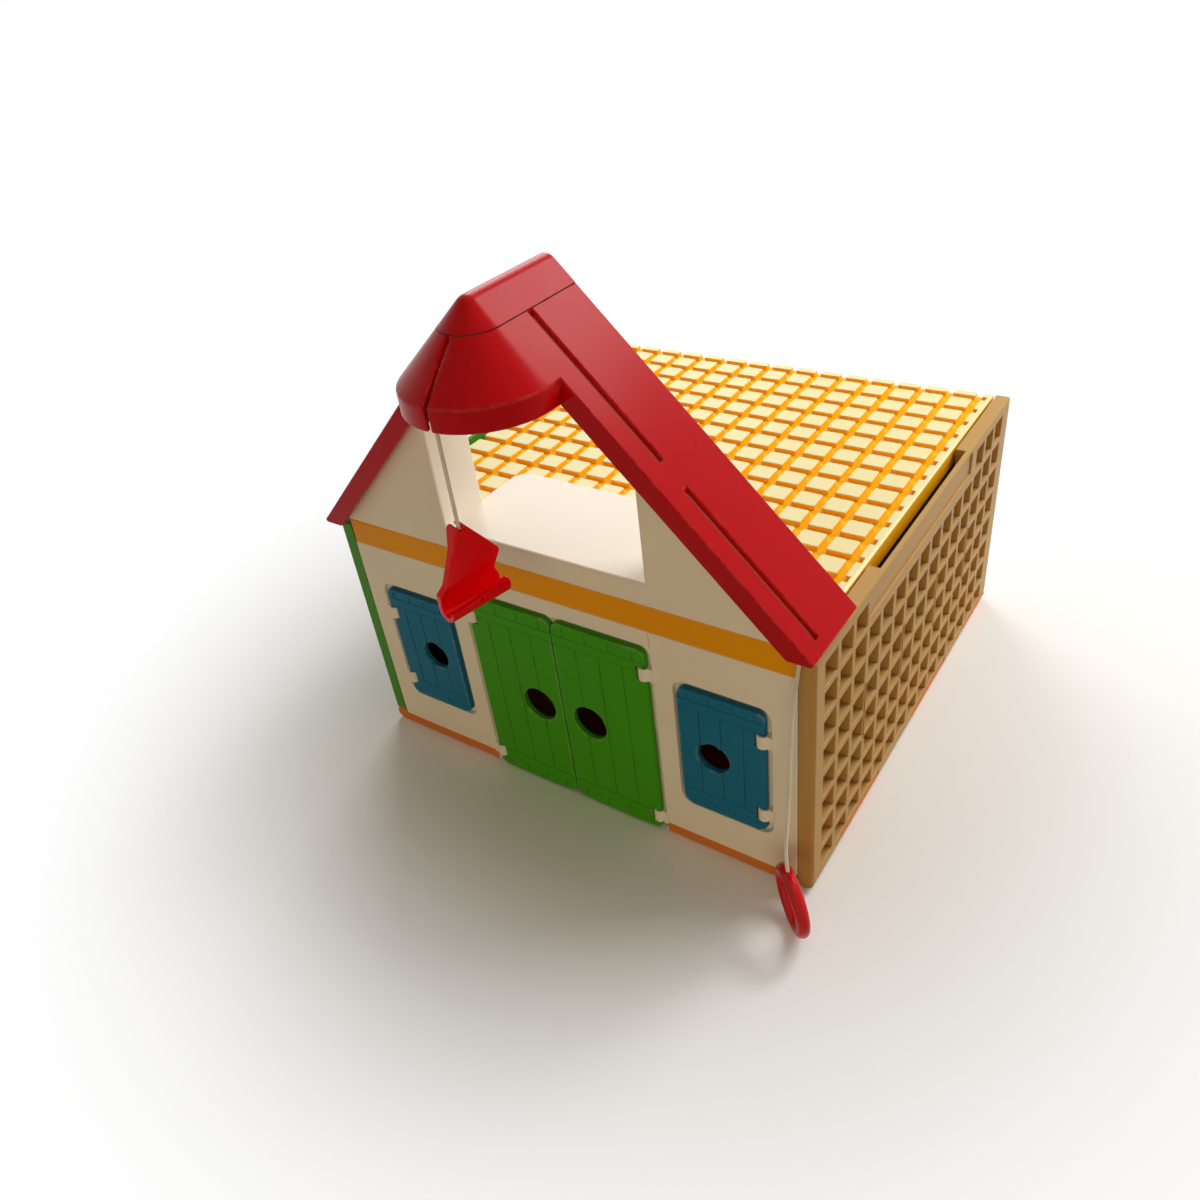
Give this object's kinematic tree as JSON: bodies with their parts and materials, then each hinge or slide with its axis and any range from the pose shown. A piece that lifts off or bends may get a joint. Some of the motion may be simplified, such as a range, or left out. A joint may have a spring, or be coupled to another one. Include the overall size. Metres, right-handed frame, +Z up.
{
  "type": "toy barn",
  "caption": "Toy barn with swinging doors and shutters, fold-down lattice sides, a loft deck, a hooded red roof and a cord hoist with hook and pull ring.",
  "frame": {"origin": "centre of the base's underside, on the floor", "axes": "+Z up, +X to the right seen from the front, +Y from the front facade to the back wall"},
  "size_m": [0.3158, 0.3566, 0.3089],
  "materials": {
    "cream": "satin moulded plastic",
    "yellow": "satin moulded plastic",
    "red": "gloss moulded plastic",
    "green": "satin moulded plastic",
    "blue": "satin moulded plastic",
    "tan": "matt moulded plastic",
    "orange": "matt moulded plastic",
    "cord": "braided cord"
  },
  "bodies": {
    "barn": {"base_floor": "orange", "front_wall": "cream", "back_wall": "cream", "deck": "yellow", "gable_frame": "cream", "loft_shelf": "cream", "roof_right": "red", "roof_left": "red", "ridge_cap": "red", "hoist_peg": "red", "cord_roof_run": "cord"},
    "door_right": {"door_right": "green"},
    "door_left": {"door_left": "green"},
    "shutter_right": {"shutter_right": "blue"},
    "shutter_left": {"shutter_left": "blue"},
    "flap_right": {"flap_right": "tan"},
    "flap_left": {"flap_left": "green"},
    "hook": {"hay_hook": "red", "hook_knot": "cord", "cord_hook_drop": "cord"},
    "ring": {"pull_ring": "red", "ring_knot": "cord", "cord_ring_drop": "cord"}
  },
  "joints": [
    {"name": "door_right_swing", "type": "hinge", "parent": "barn", "child": "door_right", "pos_m": [0.0572, -0.1444, 0.0653], "axis": [0, 0, 1], "range_deg": [0, 120]},
    {"name": "door_left_swing", "type": "hinge", "parent": "barn", "child": "door_left", "pos_m": [-0.0572, -0.1444, 0.0653], "axis": [0, 0, -1], "range_deg": [0, 120]},
    {"name": "shutter_right_swing", "type": "hinge", "parent": "barn", "child": "shutter_right", "pos_m": [0.1229, -0.1444, 0.07405], "axis": [0, 0, 1], "range_deg": [0, 110]},
    {"name": "shutter_left_swing", "type": "hinge", "parent": "barn", "child": "shutter_left", "pos_m": [-0.1229, -0.1444, 0.07405], "axis": [0, 0, -1], "range_deg": [0, 110]},
    {"name": "flap_right_fold", "type": "hinge", "parent": "barn", "child": "flap_right", "pos_m": [0.1455, 0, 0.0047], "axis": [0, 1, 0], "range_deg": [0, 90]},
    {"name": "flap_left_fold", "type": "hinge", "parent": "barn", "child": "flap_left", "pos_m": [-0.1455, 0, 0.0047], "axis": [0, -1, 0], "range_deg": [0, 90]},
    {"name": "hook_lift", "type": "slide", "parent": "barn", "child": "hook", "axis": [0, 0, 1], "range_m": [-0.115, 0], "deforming": ["cord_hook_drop"]},
    {"name": "ring_pull", "type": "slide", "parent": "barn", "child": "ring", "axis": [0, 0, 1], "range_m": [0, 0.115], "deforming": ["cord_ring_drop"]}
  ],
  "couplings": [
    {"joint": "ring_pull", "follows": "hook_lift", "ratio": -1}
  ]
}
